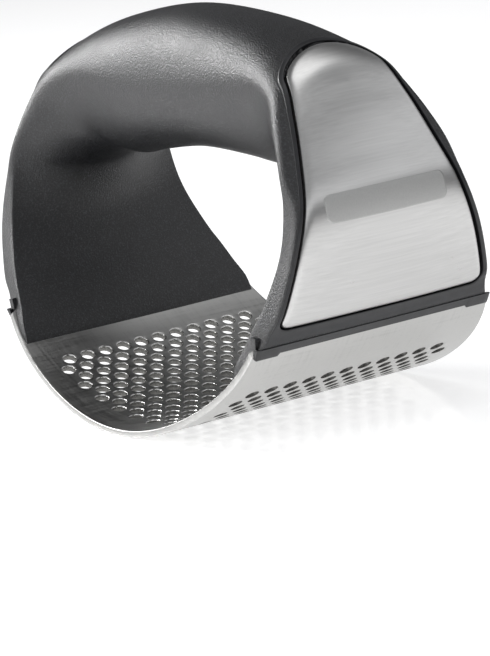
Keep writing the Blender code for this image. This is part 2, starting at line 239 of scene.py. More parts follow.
LENGTH_STATIONS = np.linspace(0, 9.5, 381)  # the outlines end well below the last of these
CORNER_POINTS = 13
SIDE_POINTS = 72
TIP_POINTS = 30
BASE_POINTS = 41


def face_lengths():
    """Length along the middle of the outer face, from station 0 to each of LENGTH_STATIONS."""
    values = section_values(LENGTH_STATIONS)
    middle = values[:, OUTER_EDGE] + outward_directions(values) * values[:, OUTER_CROWN][:, None]
    steps = np.linalg.norm(np.diff(middle, axis=0), axis=1)
    return np.concatenate([[0], np.cumsum(steps)])


FACE_LENGTHS = face_lengths()


def length_at(station):
    """Length along the outer face from station 0 to this station."""
    return np.interp(station, LENGTH_STATIONS, FACE_LENGTHS)


def station_at(length):
    """The station at this length along the outer face."""
    return np.interp(length, FACE_LENGTHS, LENGTH_STATIONS)


def bell_outline(bottom, shoulder, tip, margin, corner):
    """A bell on the outer face: straight bottom, round corners, sides along the edge, and a round tip."""
    low, high = length_at(bottom), length_at(tip)
    turn = np.linspace(0, math.pi / 2, CORNER_POINTS)
    corner_lengths = low + corner * (1 - np.cos(turn))
    side_lengths = np.linspace(low + corner, length_at(shoulder), SIDE_POINTS)[1:]
    tip_share = np.sin(np.linspace(0, math.pi / 2, TIP_POINTS)[1:])
    tip_lengths = length_at(shoulder) + (high - length_at(shoulder)) * tip_share
    lengths = np.concatenate([corner_lengths, side_lengths, tip_lengths])
    stations = station_at(lengths)
    half = section_values(stations)[:, OUTER_HALF] - margin
    beyond = np.clip((stations - shoulder) / (tip - shoulder), 0, 1)
    half = half * np.clip(1 - beyond**2, 0, 1) ** 0.5
    rounding = np.clip(corner - (lengths - low), 0, corner)
    half = half - (corner - np.sqrt(corner**2 - rounding**2))
    bottom_y = np.linspace(-half[0], half[0], BASE_POINTS)[1:-1]
    right = np.stack([lengths, half], 1)
    left = np.stack([lengths[:-1], -half[:-1]], 1)[::-1]
    base = np.stack([np.full(len(bottom_y), low), bottom_y], 1)
    return np.concatenate([base, right, left])


def inset(outline, distance):
    """The outline moved inwards, square to itself."""
    along = np.roll(outline, -1, 0) - np.roll(outline, 1, 0)
    along /= np.linalg.norm(along, axis=1)[:, None]
    inwards = np.stack([along[:, 1], -along[:, 0]], 1)
    towards_centre = ((outline.mean(0) - outline) * inwards).sum(1)
    return outline + inwards * np.sign(towards_centre).mean() * distance


def on_face(outline, lift, side):
    """The outline on an arm's outer face, at this height above it."""
    return outer_points(station_at(outline[:, 0]), outline[:, 1], lift, side)


# ---- materials ----


def new_material(name, colour, roughness, metallic=0.0):
    """A material with its node tree and its Principled BSDF."""
    made = bpy.data.materials.new(name)
    made.use_nodes = True
    shader = made.node_tree.nodes["Principled BSDF"]
    shader.inputs["Base Color"].default_value = (*colour, 1)
    shader.inputs["Roughness"].default_value = roughness
    shader.inputs["Metallic"].default_value = metallic
    return made, made.node_tree, shader


def add_node(tree, kind, **settings):
    """A node with these inputs or properties set."""
    node = tree.nodes.new(kind)
    for key, value in settings.items():
        if key in node.inputs.keys():
            node.inputs[key].default_value = value
        else:
            setattr(node, key, value)
    return node


def object_noise(tree, scale, stretch=(1, 1, 1), detail=2.0, roughness=0.5):
    """Noise in the object's own coordinates; stretch multiplies the scale along each axis."""
    coordinates = add_node(tree, "ShaderNodeTexCoord")
    mapping = add_node(tree, "ShaderNodeMapping")
    mapping.inputs["Scale"].default_value = stretch
    noise = add_node(tree, "ShaderNodeTexNoise", Scale=scale, Detail=detail, Roughness=roughness)
    tree.links.new(coordinates.outputs["Object"], mapping.inputs["Vector"])
    tree.links.new(mapping.outputs["Vector"], noise.inputs["Vector"])
    return noise


def ramp(tree, source, low, high, start, end):
    """Goes from low to high, numbers or colours, as the source goes from start to end."""
    if isinstance(low, tuple):
        node = add_node(tree, "ShaderNodeValToRGB")
        node.color_ramp.elements[0].position = start
        node.color_ramp.elements[1].position = end
        node.color_ramp.elements[0].color = (*low, 1)
        node.color_ramp.elements[1].color = (*high, 1)
        tree.links.new(source, node.inputs["Fac"])
        return node.outputs["Color"]
    node = add_node(tree, "ShaderNodeMapRange")
    node.inputs["From Min"].default_value = start
    node.inputs["From Max"].default_value = end
    node.inputs["To Min"].default_value = low
    node.inputs["To Max"].default_value = high
    tree.links.new(source, node.inputs["Value"])
    return node.outputs["Result"]


def drive(tree, shader, channel, source, low, high, start=0.3, end=0.7):
    """Ties one of the shader's inputs to a ramp of the source."""
    tree.links.new(ramp(tree, source, low, high, start, end), shader.inputs[channel])


def bump(tree, shader, source, strength, distance):
    """Small relief from the source; distance is its height in metres."""
    node = add_node(tree, "ShaderNodeBump", Strength=strength, Distance=distance)
    tree.links.new(source, node.inputs["Height"])
    tree.links.new(node.outputs["Normal"], shader.inputs["Normal"])


def textured_plastic():
    """Black plastic with a fine spark-eroded grain."""
    made, tree, shader = new_material("textured_black_plastic", (0.02, 0.02, 0.023), 0.5)
    grain = object_noise(tree, 3000, detail=2.0, roughness=0.6)
    broad = object_noise(tree, 260, detail=2.0)
    drive(
        tree, shader, "Base Color", grain.outputs["Fac"],
        (0.004, 0.004, 0.0048), (0.045, 0.047, 0.054), 0.5, 0.78,
    )
    drive(tree, shader, "Roughness", broad.outputs["Fac"], 0.36, 0.42)
    shader.inputs["Specular IOR Level"].default_value = 0.7
    bump(tree, shader, grain.outputs["Fac"], 0.7, 0.0002)
    return made


def satin_plastic():
    """Smoother satin black plastic with a faint haze of scuffs."""
    made, tree, shader = new_material("satin_black_plastic", (0.03, 0.03, 0.033), 0.4)
    haze = object_noise(tree, 700, detail=3.0)
    scuffs = object_noise(tree, 900, stretch=(1, 0.08, 1), detail=2.0)
    drive(
        tree, shader, "Base Color", haze.outputs["Fac"],
        (0.009, 0.009, 0.0105), (0.015, 0.0155, 0.018),
    )
    drive(tree, shader, "Roughness", scuffs.outputs["Fac"], 0.34, 0.46)
    bump(tree, shader, haze.outputs["Fac"], 0.15, 0.00003)
    return made


def brushed_steel():
    """Stainless steel brushed along Y."""
    made, tree, shader = new_material("brushed_stainless_steel", (0.7, 0.69, 0.67), 0.3, 1.0)
    lines = object_noise(tree, 2600, stretch=(1, 0.012, 1), detail=3.0, roughness=0.6)
    cloud = object_noise(tree, 90, detail=2.0)
    drive(
        tree, shader, "Base Color", lines.outputs["Fac"],
        (0.53, 0.527, 0.52), (0.6, 0.596, 0.588),
    )
    mixed = add_node(tree, "ShaderNodeMath", operation="MULTIPLY_ADD")
    tree.links.new(lines.outputs["Fac"], mixed.inputs[0])
    mixed.inputs[1].default_value = 0.7
    tree.links.new(cloud.outputs["Fac"], mixed.inputs[2])
    drive(tree, shader, "Roughness", mixed.outputs[0], 0.27, 0.33, 0.5, 1.2)
    shader.inputs["Anisotropic"].default_value = 0.5
    bump(tree, shader, lines.outputs["Fac"], 0.06, 0.00002)
    return made


def sheet_steel():
    """Rolled stainless sheet with fine scratches in several directions."""
    made, tree, shader = new_material("rolled_stainless_sheet", (0.62, 0.61, 0.59), 0.34, 1.0)
    along = object_noise(tree, 1500, stretch=(0.06, 1.2, 0.06), detail=3.0, roughness=0.6)
    cross = object_noise(tree, 1700, stretch=(1.2, 0.05, 1.2), detail=3.0, roughness=0.6)
    both = add_node(tree, "ShaderNodeMath", operation="ADD")
    tree.links.new(along.outputs["Fac"], both.inputs[0])
    tree.links.new(cross.outputs["Fac"], both.inputs[1])
    drive(
        tree, shader, "Base Color", both.outputs[0],
        (0.47, 0.468, 0.458), (0.53, 0.527, 0.515), 0.7, 1.3,
    )
    drive(tree, shader, "Roughness", both.outputs[0], 0.28, 0.42, 0.75, 1.25)
    bump(tree, shader, both.outputs[0], 0.05, 0.00002)
    return made


def punched_steel_painted_shade():
    """Rougher metal of the punched hole walls, with painted shade: its colour is much darker than the sheet's,
    partly the torn metal's own and partly the shade inside the holes.
    """
    made, tree, shader = new_material("punched_wall_painted_shade", (0.2, 0.2, 0.19), 0.5, 1.0)
    tears_and_shade = object_noise(tree, 5000, stretch=(1, 1, 0.3), detail=3.0)
    # The dark colour range is painted shade for the inside of the holes, over the walls' own rougher, torn tone.
    drive(tree, shader, "Base Color", tears_and_shade.outputs["Fac"], (0.1, 0.1, 0.095), (0.24, 0.235, 0.225))
    drive(tree, shader, "Roughness", tears_and_shade.outputs["Fac"], 0.4, 0.6)
    bump(tree, shader, tears_and_shade.outputs["Fac"], 0.3, 0.00003)
    return made


def rim_steel_painted_highlight():
    """Smoother metal of the rounded rims of the holes, with a painted highlight: its colour is brighter than the
    sheet's, partly the burnished rim's own and partly the glints along the rims.
    """
    made, tree, shader = new_material("burnished_rim_painted_highlight", (0.75, 0.745, 0.73), 0.2, 1.0)
    wear_and_sheen = object_noise(tree, 2500, detail=2.0)
    # The bright colour range is partly painted highlight for the glints along the rims, over the rim's own
    # burnished tone.
    drive(tree, shader, "Base Color", wear_and_sheen.outputs["Fac"], (0.68, 0.675, 0.66), (0.8, 0.795, 0.78))
    drive(tree, shader, "Roughness", wear_and_sheen.outputs["Fac"], 0.16, 0.26)
    return made


def etched_steel():
    """Matte, slightly darker etched field."""
    made, tree, shader = new_material("etched_stainless_steel", (0.42, 0.42, 0.41), 0.5, 1.0)
    pits = object_noise(tree, 3500, detail=2.0)
    drive(tree, shader, "Base Color", pits.outputs["Fac"], (0.44, 0.44, 0.435), (0.5, 0.5, 0.49))
    drive(tree, shader, "Roughness", pits.outputs["Fac"], 0.42, 0.56)
    bump(tree, shader, pits.outputs["Fac"], 0.2, 0.00002)
    return made


def floor_surface():
    """A pale floor that mirrors faintly and glows enough to look white."""
    made, tree, shader = new_material("pale_floor", (0.9, 0.9, 0.9), 0.12)
    shader.inputs["Specular IOR Level"].default_value = 0.12
    shader.inputs["Emission Color"].default_value = (1, 1, 1, 1)
    shader.inputs["Emission Strength"].default_value = 0.56
    mottle = object_noise(tree, 3, detail=2.0)
    drive(tree, shader, "Base Color", mottle.outputs["Fac"], (0.88, 0.88, 0.885), (0.9, 0.9, 0.905))
    return made


PLASTIC = textured_plastic()
SATIN = satin_plastic()
BRUSHED = brushed_steel()
SHEET_METAL = sheet_steel()
ETCHED = etched_steel()
# Painted shade for the hole walls:
PUNCHED_AND_SHADED = punched_steel_painted_shade()
# Painted highlight for the hole rims:
RIM_PAINTED_HIGHLIGHT = rim_steel_painted_highlight()


# ---- sieve plate ----


Y_STEPS = 8  # sheet columns per hole pitch
U_STEPS = 6  # sheet lines per row of holes
FIELD_PITCHES = 6  # the holes' field reaches this many pitches from the middle plane
FLAT_HALF = FIELD_PITCHES * HOLE_PITCH
FIELD = [k * (HOLE_PITCH / Y_STEPS) for k in range(-FIELD_PITCHES * Y_STEPS, FIELD_PITCHES * Y_STEPS + 1)]
FILLER = HOLE_PITCH / 2  # a short row leaves half a cell free at each end
ROW_EDGES = [ROW_OFFSET + (k - 0.5 - ROWS // 2) * ROW_PITCH for k in range(ROWS + 1)]
LEFT_END_LINES = 27  # lines over the plain end of the sheet, left and right
RIGHT_END_LINES = 25
EDGE_PROFILE = (0.0, 0.12, 0.4, 0.7, 0.9, 1.0)  # share of the margin between the holes and the edge
EDGE_RADIUS = 0.16 * MM  # of the cut edges
END_CORNER = 1.2 * MM  # how much narrower each side is at the sheet's end
RIM_DEPTH = 0.2 * MM
BACK_BEVEL = 0.1 * MM  # round the hole on the outer face
RIM_RINGS = (1, 2, 3)  # the rings of faces that make the hole's rounded rim
WALL_RINGS = (4, 5)  # and its punched wall


def cell_rim():
    """Boundary points of a hole's cell, as shares of its half size, anticlockwise from the lower left."""
    y = np.linspace(-1, 1, Y_STEPS + 1)
    u = np.linspace(-1, 1, U_STEPS + 1)
    points = [(-1, v) for v in y[:-1]] + [(w, 1) for w in u[:-1]]
    points += [(1, -v) for v in y[:-1]] + [(-w, -1) for w in u[:-1]]
    return np.array(points)


def hole_rings():
    """Radius and depth of each ring from the inner face, through the hole, to the outer face."""
    rim = RIM_RADIUS - HOLE_RADIUS
    rings = []
    for turn in np.linspace(0, math.pi / 2, 4):
        rings.append((HOLE_RADIUS + rim * (1 - math.sin(turn)), RIM_DEPTH * (1 - math.cos(turn))))
    rings.append((HOLE_RADIUS, 0.5 * SHEET_THICKNESS))
    rings.append((HOLE_RADIUS + 0.3 * BACK_BEVEL, SHEET_THICKNESS - 0.5 * BACK_BEVEL))
    rings.append((HOLE_RADIUS + BACK_BEVEL, SHEET_THICKNESS))
    return rings


class FlatSheet:
    """The sheet before it is bent: its vertices are (run, y, depth), shared by the faces that meet there."""

    def __init__(self):
        self.vertices, self.faces = [], []
        self.rim_faces, self.wall_faces = [], []
        self.known = {}

    def vertex(self, run, y, depth):
        """The number of the vertex at this place, new or already there."""
        key = (round(run * 1e7), round(y * 1e7), round(depth * 1e7))
        if key not in self.known:
            self.known[key] = len(self.vertices)
            self.vertices.append((run, y, depth))
        return self.known[key]

    def add_face(self, numbers, turned):
        """A face through these vertices, in the other order where it is turned."""
        self.faces.append(tuple(reversed(numbers)) if turned else tuple(numbers))


def add_hole(sheet, run, y):
    """A hole's cell: the sheet round it, its rim and its wall, and the outer face round it."""
    rim = cell_rim()
    cell = [(run + a * ROW_PITCH / 2, y + b * HOLE_PITCH / 2) for a, b in rim]
    spokes = rim * np.array([ROW_PITCH, HOLE_PITCH])
    spokes /= np.linalg.norm(spokes, axis=1)[:, None]
    loops = [[sheet.vertex(u, v, 0.0) for u, v in cell]]
    for radius, depth in hole_rings():
        loops.append([sheet.vertex(run + radius * a, y + radius * b, depth) for a, b in spokes])
    loops.append([sheet.vertex(u, v, SHEET_THICKNESS) for u, v in cell])
    for number, (loop, following) in enumerate(zip(loops, loops[1:])):
        ring = range(len(sheet.faces), len(sheet.faces) + len(rim))
        if number in RIM_RINGS:
            sheet.rim_faces.extend(ring)
        if number in WALL_RINGS:
            sheet.wall_faces.extend(ring)
        for j in range(len(rim)):
            i = (j + 1) % len(rim)
            sheet.faces.append((loop[j], loop[i], following[i], following[j]))


def sheet_lines():
    """Runs of the sheet's lines, evenly over the rows of holes and over each plain end."""
    left = list(np.linspace(-SHEET_END, ROW_EDGES[0], LEFT_END_LINES)[:-1])
    rows = [ROW_EDGES[0] + k * (ROW_PITCH / U_STEPS) for k in range(ROWS * U_STEPS + 1)]
    right = list(np.linspace(ROW_EDGES[-1], SHEET_END, RIGHT_END_LINES)[1:])
    return left + rows + right


def edge_loop(sheet, run, side):
    """The margin's points at this run, over the rounded cut edge from the inner to the outer face."""
    half = float(SHEET_HALF_WIDTH - SHEET_TAPER * (run / BEND_SPAN) ** 2)
    half -= END_CORNER * smooth_step((abs(run) - LIP_RUN) / (SHEET_END - LIP_RUN))
    flat = half - EDGE_RADIUS
    top = [(FLAT_HALF + share * (flat - FLAT_HALF), 0.0) for share in EDGE_PROFILE]
    for turn in np.linspace(0, math.pi / 2, 4)[1:]:
        top.append((flat + EDGE_RADIUS * math.sin(turn), EDGE_RADIUS * (1 - math.cos(turn))))
    profile = top + [(half, 0.5 * SHEET_THICKNESS)]
    profile += [(y, SHEET_THICKNESS - depth) for y, depth in reversed(top)]
    return [sheet.vertex(run, side * y, depth) for y, depth in profile]


def add_plain_strip(sheet, start, end):
    """The sheet between two lines wherever no hole's cell covers it, and its margins."""
    middle = 0.5 * (start + end)
    covered = 0.0
    if ROW_EDGES[0] < middle < ROW_EDGES[-1]:
        row = int((middle - ROW_EDGES[0]) / ROW_PITCH)
        covered = FLAT_HALF - (0 if row % 2 else FILLER)
    for y, w in zip(FIELD, FIELD[1:]):
        if abs(0.5 * (y + w)) < covered:
            continue
        for depth in (0.0, SHEET_THICKNESS):
            corners = ((start, y), (start, w), (end, w), (end, y))
            sheet.add_face([sheet.vertex(run, across, depth) for run, across in corners], depth == 0.0)
    for side in (-1, 1):
        here, there = edge_loop(sheet, start, side), edge_loop(sheet, end, side)
        for j in range(len(here) - 1):
            sheet.add_face((here[j], here[j + 1], there[j + 1], there[j]), side > 0)


def add_end_wall(sheet, run):
    """The sheet's cut face at one of its two ends."""
    for y, w in zip(FIELD, FIELD[1:]):
        corners = ((y, 0.0), (w, 0.0), (w, SHEET_THICKNESS), (y, SHEET_THICKNESS))
        sheet.add_face([sheet.vertex(run, across, depth) for across, depth in corners], run > 0)
    for side in (-1, 1):
        sheet.faces.append(tuple(edge_loop(sheet, run, side)))


def make_sieve_plate():
    """The perforated sheet, built flat and then bent."""
    sheet = FlatSheet()
    for row in range(ROWS):
        run = 0.5 * (ROW_EDGES[row] + ROW_EDGES[row + 1])
        count = SHORT_ROW + row % 2
        for k in range(count):
            add_hole(sheet, run, (k - (count - 1) / 2) * HOLE_PITCH)
    lines = sheet_lines()
    for start, end in zip(lines, lines[1:]):
        add_plain_strip(sheet, start, end)
    for run in (lines[0], lines[-1]):
        add_end_wall(sheet, run)
    flat = np.array(sheet.vertices)
    points = sheet_points(flat[:, 0], flat[:, 1], flat[:, 2])
    piece = make_piece("perforated_sheet", points, sheet.faces, SHEET_METAL, ["sieve_plate"])
    # The hole walls get painted shade and the rims a painted highlight, through their materials.
    for place, (numbers, material) in enumerate(((sheet.rim_faces, RIM_PAINTED_HIGHLIGHT), (sheet.wall_faces, PUNCHED_AND_SHADED)), 1):
        piece.data.materials.append(material)
        for number in numbers:
            piece.data.polygons[number].material_index = place
    fix_normals(piece)
    piece.data.set_sharp_from_angle(angle=math.radians(50))


def fix_normals(piece):
    """Turns the piece's faces outwards."""
    form = bmesh.new()
    form.from_mesh(piece.data)
    bmesh.ops.recalc_face_normals(form, faces=form.faces)
    form.to_mesh(piece.data)
    form.free()


# ---- handle body ----


BODY_LINES = 260  # rings from one end of the handle to the other
OUTER_COLUMNS = 84
INNER_COLUMNS = 56
EDGE_COLUMNS = 8


def body_section(stations, side):
    """Rings of points round the handle: outer face, side, inner face and side."""
    values = section_values(stations)
    out = outward_directions(values)

    def face(edge, half, crown, roundness, columns):
        """The XZ places and the Y of one crowned face, from one side to the other."""
        share = np.sin(np.linspace(-math.pi / 2, math.pi / 2, columns + 1))
        height = values[:, crown, None] * np.clip(1 - share**2, 0, 1) ** values[:, roundness, None]
        way = 1 if edge == OUTER_EDGE else -1
        return values[:, None, edge] + way * out[:, None] * height[..., None], share * values[:, half, None]

    outer, outer_y = face(OUTER_EDGE, OUTER_HALF, OUTER_CROWN, OUTER_ROUND, OUTER_COLUMNS)
    inner, inner_y = face(INNER_EDGE, INNER_HALF, INNER_CROWN, INNER_ROUND, INNER_COLUMNS)
    steps = np.linspace(0, 1, EDGE_COLUMNS + 1)[1:-1]
    edge = values[:, None, OUTER_EDGE] * (1 - steps)[:, None] + values[:, None, INNER_EDGE] * steps[:, None]
    edge_y = values[:, OUTER_HALF, None] * (1 - steps) + values[:, INNER_HALF, None] * steps
    edge_y = edge_y + values[:, SIDE_BULGE, None] * np.sin(math.pi * steps)

    def joined(xz, y):
        return np.stack([side * xz[..., 0], y, xz[..., 1]], -1)

    ring = [joined(outer, outer_y), joined(edge, edge_y), joined(inner, inner_y)[:, ::-1]]
    ring.append(joined(edge, -edge_y)[:, ::-1])
    return np.concatenate(ring, 1)


# How far the handle's edges are rounded, in mm, at each station from the foot to the top.
EDGE_SOFTNESS = (0.3, 0.3, 0.3, 0.32, 0.45, 0.8, 1.5, 2.3, 2.7, 2.8, 2.8)
FOOT_RADIUS = 2.4 * MM
FOOT_RUN = 43 * MM
FOOT_FLARE = 0.5 * MM
FOOT_FLARE_HEIGHT = 16.8 * MM
FOOT_FLARE_SPREAD = 2.6 * MM
FOOT_STATION = 2.0  # the foot's shape ends here
FOOT_HALF_WIDTH = 27 * MM
FOOT_FADE = 1.3  # how fast the retreat fades from the inner edge to the outer
FOOT_FLARE_FADE = 1.2  # share of the thickness at which the flare has faded out
FOOT_LIFT = 0.4  # share of the retreat that goes upwards


def soften_rings(rings, stations):
    """Each point moves to the weighted mean of its ring near it, which rounds the section's edges."""
    softness = np.interp(stations, np.arange(TOP_STATION + 1), EDGE_SOFTNESS) * MM
    steps = np.linalg.norm(np.roll(rings, -1, 1) - rings, axis=2)
    total = steps.sum(1)[:, None, None]
    places = np.cumsum(steps, axis=1) - steps
    weights = 0.5 * (steps + np.roll(steps, 1, 1))
    apart = np.abs(places[:, :, None] - places[:, None, :])
    apart = np.minimum(apart, total - apart)
    kernel = np.exp(-0.5 * (apart / softness[:, None, None]) ** 2) * weights[:, None, :]
    return (kernel @ rings) / kernel.sum(2)[..., None]


def round_foot(rings, stations, side):
    """The inner face curves away from the bowl just above the sheet, down to a rounded foot."""
    depth, run = sheet_depths(rings)
    height = np.where(run < FOOT_RUN, np.clip(-depth, 0, FOOT_RADIUS), FOOT_RADIUS)
    retreat = FOOT_RADIUS - np.sqrt(FOOT_RADIUS**2 - (FOOT_RADIUS - height) ** 2)
    values = section_values(stations)
    outwards = outward_directions(values)
    thickness = np.linalg.norm(values[:, OUTER_EDGE] - values[:, INNER_EDGE], axis=1)
    from_inner_x = rings[..., 0] * side - values[:, None, 2]
    from_inner_z = rings[..., 2] - values[:, None, 3]
    share = (from_inner_x * outwards[:, None, 0] + from_inner_z * outwards[:, None, 1]) / thickness[:, None]
    low = (stations < FOOT_STATION)[:, None]
    keep = np.clip(1 - share * FOOT_FADE, 0, 1) * low
    rings[..., 0] += side * retreat * keep * outwards[:, None, 0]
    rings[..., 2] += FOOT_LIFT * retreat * keep * outwards[:, None, 1]
    flare = FOOT_FLARE * np.exp(-(((rings[..., 2] - FOOT_FLARE_HEIGHT) / FOOT_FLARE_SPREAD) ** 2))
    flare = flare * np.clip(FOOT_FLARE_FADE - share, 0, 1) * low
    rings[..., 1] += rings[..., 1] / FOOT_HALF_WIDTH * flare
    return rings


def sink_pockets(rings, stations, side):
    """The outer face is lower under each cover, so that the groove round the inlay is deep."""
    columns = OUTER_COLUMNS + 1
    outer = rings[:, :columns]
    values = section_values(stations)
    out = outward_directions(values)
    lengths = length_at(stations)
    half = values[:, OUTER_HALF] - 0.5 * (COVER_MARGIN + INLAY_MARGIN)
    beyond = np.clip((stations - POCKET_SHOULDER) / (POCKET_TIP - POCKET_SHOULDER), 0, 1)
    half = half * np.sqrt(np.clip(1 - beyond**2, 0, 1))
    gap = half[:, None] - np.abs(outer[..., 1])
    start = lengths - length_at(0.5 * (COVER_BOTTOM + INLAY_BOTTOM))
    inside = np.minimum(gap, start[:, None])
    inside = np.where((stations < POCKET_TIP)[:, None], inside, -1)
    depth = POCKET_DEPTH * smooth_step(inside / POCKET_WALL + 0.5)
    outer[..., 0] -= side * out[:, 0, None] * depth
    outer[..., 2] -= out[:, 1, None] * depth
    rings[:, :columns] = outer
    return rings


def tuck_into_sheet(points):
    """What lies outside the sheet's middle surface is moved onto it, inside the metal."""
    depth, run = sheet_depths(points)
    middle = 0.5 * SHEET_THICKNESS
    too_deep = (depth > middle) & (run < LIP_RUN + 1 * MM)
    moved = sheet_points(run, points[..., 1], np.full(run.shape, middle))
    moved[..., 0] *= np.sign(points[..., 0])
    return np.where(too_deep[..., None], moved, points)


def make_handle_body():
    """The whole plastic arch, from one foot over the grip to the other."""
    half = np.linspace(0, TOP_STATION, BODY_LINES // 2 + 1)
    arms = []
    for side in (-1, 1):
        rings = soften_rings(body_section(half, side), half)
        arms.append(sink_pockets(round_foot(rings, half, side), half, side))
    left, right = arms
    rings = np.concatenate([left, right[::-1][1:]])
    rings = tuck_into_sheet(rings)
    vertices = rings.reshape(-1, 3)
    count = rings.shape[1]
    faces = grid_faces(rings.shape[0], count, closed=True)
    faces.append(tuple(range(count)))
    faces.append(tuple(range(len(vertices) - count, len(vertices))))
    piece = make_piece("handle_grip", vertices, faces, PLASTIC, ["handle_body"])
    fix_normals(piece)
    piece.data.set_sharp_from_angle(angle=math.radians(55))


# ---- side covers and inlays ----


COVER_CORNER = 0.5 * MM
# The groove's width in stations below the inlay and above its tip. Stations are about 5.3 mm apart at the bottom
# and 10.4 mm at the tip, so the groove is about 0.4 mm wide there and 0.8 mm, and GROOVE wide at the sides.
GROOVE_STATIONS = GROOVE / (7 * MM)
GROOVE_TIP_STATIONS = 0.08
# Share of the way from the cover's outer to its inner outline, and height above the arm's face in mm.
COVER_PROFILE = (
    (0.0, -0.7), (0.0, -0.12), (0.03, -0.03), (0.1, 0.05), (0.3, 0.05), (0.5, 0.05),
    (0.7, 0.05), (0.88, 0.05), (0.96, 0.02), (0.99, -0.06), (1.0, -0.18), (1.0, -1.25),
)
# Distance in from the inlay's outline, and height above the arm's face, both in mm.
INLAY_PROFILE = (
    (0.12, -1.0), (0.0, -0.9), (0.0, -0.5), (0.07, -0.26), (0.22, -0.06),
    (0.45, 0.09), (0.8, 0.19), (1.2, 0.24), (1.7, 0.25),
)
INLAY_CENTRE = 3.6  # station where the inlay's rings close
INLAY_RINGS = 40


def make_side_cover(name, side):
    """The satin frame round an inlay, down to the bottom of the groove."""
    outer = bell_outline(COVER_BOTTOM, COVER_SHOULDER, COVER_TIP, COVER_MARGIN, COVER_CORNER)
    bottom, tip = INLAY_BOTTOM - GROOVE_STATIONS, INLAY_TIP + GROOVE_TIP_STATIONS
    inner = bell_outline(bottom, INLAY_SHOULDER, tip, INLAY_MARGIN - GROOVE, INLAY_CORNER + GROOVE)
    loops = [on_face(outer + (inner - outer) * share, lift * MM, side) for share, lift in COVER_PROFILE]
    vertices, faces = ring_stack(loops, close_end=False)
    count = len(outer)
    last = (len(loops) - 1) * count
    faces += [(last + k, last + (k + 1) % count, (k + 1) % count, k) for k in range(count)]
    piece = make_piece(f"side_frame_{name}", vertices, faces, SATIN, [f"side_cover_{name}"])
    fix_normals(piece)
    piece.data.set_sharp_from_angle(angle=math.radians(60))


def make_inlay(name, side):
    """The brushed shell: a turned-down rim, and a face that follows the arm's."""
    outline = bell_outline(INLAY_BOTTOM, INLAY_SHOULDER, INLAY_TIP, INLAY_MARGIN, INLAY_CORNER)
    centre = np.array([length_at(INLAY_CENTRE), 0.0])
    loops = [on_face(inset(outline, distance * MM), lift * MM, side) for distance, lift in INLAY_PROFILE]
    start = inset(outline, INLAY_PROFILE[-1][0] * MM)
    for share in np.linspace(0, 1, INLAY_RINGS)[1:-1]:
        loops.append(on_face(start + (centre - start) * share, INLAY_PROUD, side))
    vertices, faces = ring_stack(loops)
    vertices[-1] = on_face(centre[None], INLAY_PROUD, side)[0]
    nodes = [f"steel_inlay_{name}", f"adhesive_pad_{name}"]
    nodes += [f"cover_screw_{name}_{number}" for number in range(1, 5)]
    piece = make_piece(f"steel_shell_{name}", vertices, faces, BRUSHED, nodes)
    fix_normals(piece)
    piece.data.set_sharp_from_angle(angle=math.radians(60))


# The blank etched field on each inlay; FIELD_PLACE is its middle's length along the face from station 0.
FIELD_PLACE = 33.4 * MM
FIELD_HEIGHT = 5.3 * MM
FIELD_HALF_WIDTH = 13.2 * MM
FIELD_CORNER = 1.3 * MM
FIELD_STEP = 0.6 * MM  # longest edge of its outline
# Share of the way to the field's middle, and height above the inlay in mm.
FIELD_PROFILE = ((0.0, -0.1), (0.0, 0.03), *((share, 0.05) for share in (0.03, 0.1, 0.3, 0.5, 0.7, 0.9)))


def make_etched_field(name, side):
    """A matte rounded rectangle that lies on the inlay."""
    corners = []
    half_height = 0.5 * FIELD_HEIGHT
    for centre_y, centre_l, first in ((1, 1, 0), (-1, 1, 90), (-1, -1, 180), (1, -1, 270)):
        for angle in np.radians(np.linspace(first, first + 90, 7)):
            y = centre_y * (FIELD_HALF_WIDTH - FIELD_CORNER) + FIELD_CORNER * math.cos(angle)
            length = centre_l * (half_height - FIELD_CORNER) + FIELD_CORNER * math.sin(angle)
            corners.append((FIELD_PLACE + length, y))
    outline = np.array(corners)
    dense = []
    for start, end in zip(outline, np.roll(outline, -1, 0)):
        steps = max(1, int(np.linalg.norm(end - start) / FIELD_STEP))
        dense += [start + (end - start) * k / steps for k in range(steps)]
    outline = np.array(dense)
    centre = np.array([FIELD_PLACE, 0.0])
    loops = []
    for share, lift in FIELD_PROFILE:
        loops.append(on_face(outline + (centre - outline) * share, INLAY_PROUD + lift * MM, side))
    vertices, faces = ring_stack(loops)
    piece = make_piece(f"etched_field_{name}", vertices, faces, ETCHED)
    fix_normals(piece)


# ---- lip strips and plugs ----


LIP_TOP_NARROWING = 0.98 * 24.6 / 26.1  # the arm is narrower at the strip's top than at its bottom
TAB_RAMP = 0.4 * MM
LIP_END_ROUNDING = 0.2 * MM
LIP_TOP_EDGE = ((0.0, 0.12), (0.15, 0.0), (1.2, 0.1))  # mm in from the outer face, and mm down


def lip_places():
    """Where the strip's sections are, along Y: close together at the tabs and the ends."""
    tab_start = LIP_HALF_WIDTH - TAB_WIDTH
    places = [step * MM for step in (0.0, 6.0, 12.0, 18.0)]
    places += [tab_start + step * MM for step in (-0.5, -0.25, 0.0, 0.3)]
    places += [LIP_HALF_WIDTH - step * MM for step in (1.2, 0.25, 0.06, 0.0)]
    return [-y for y in reversed(places[1:])] + places


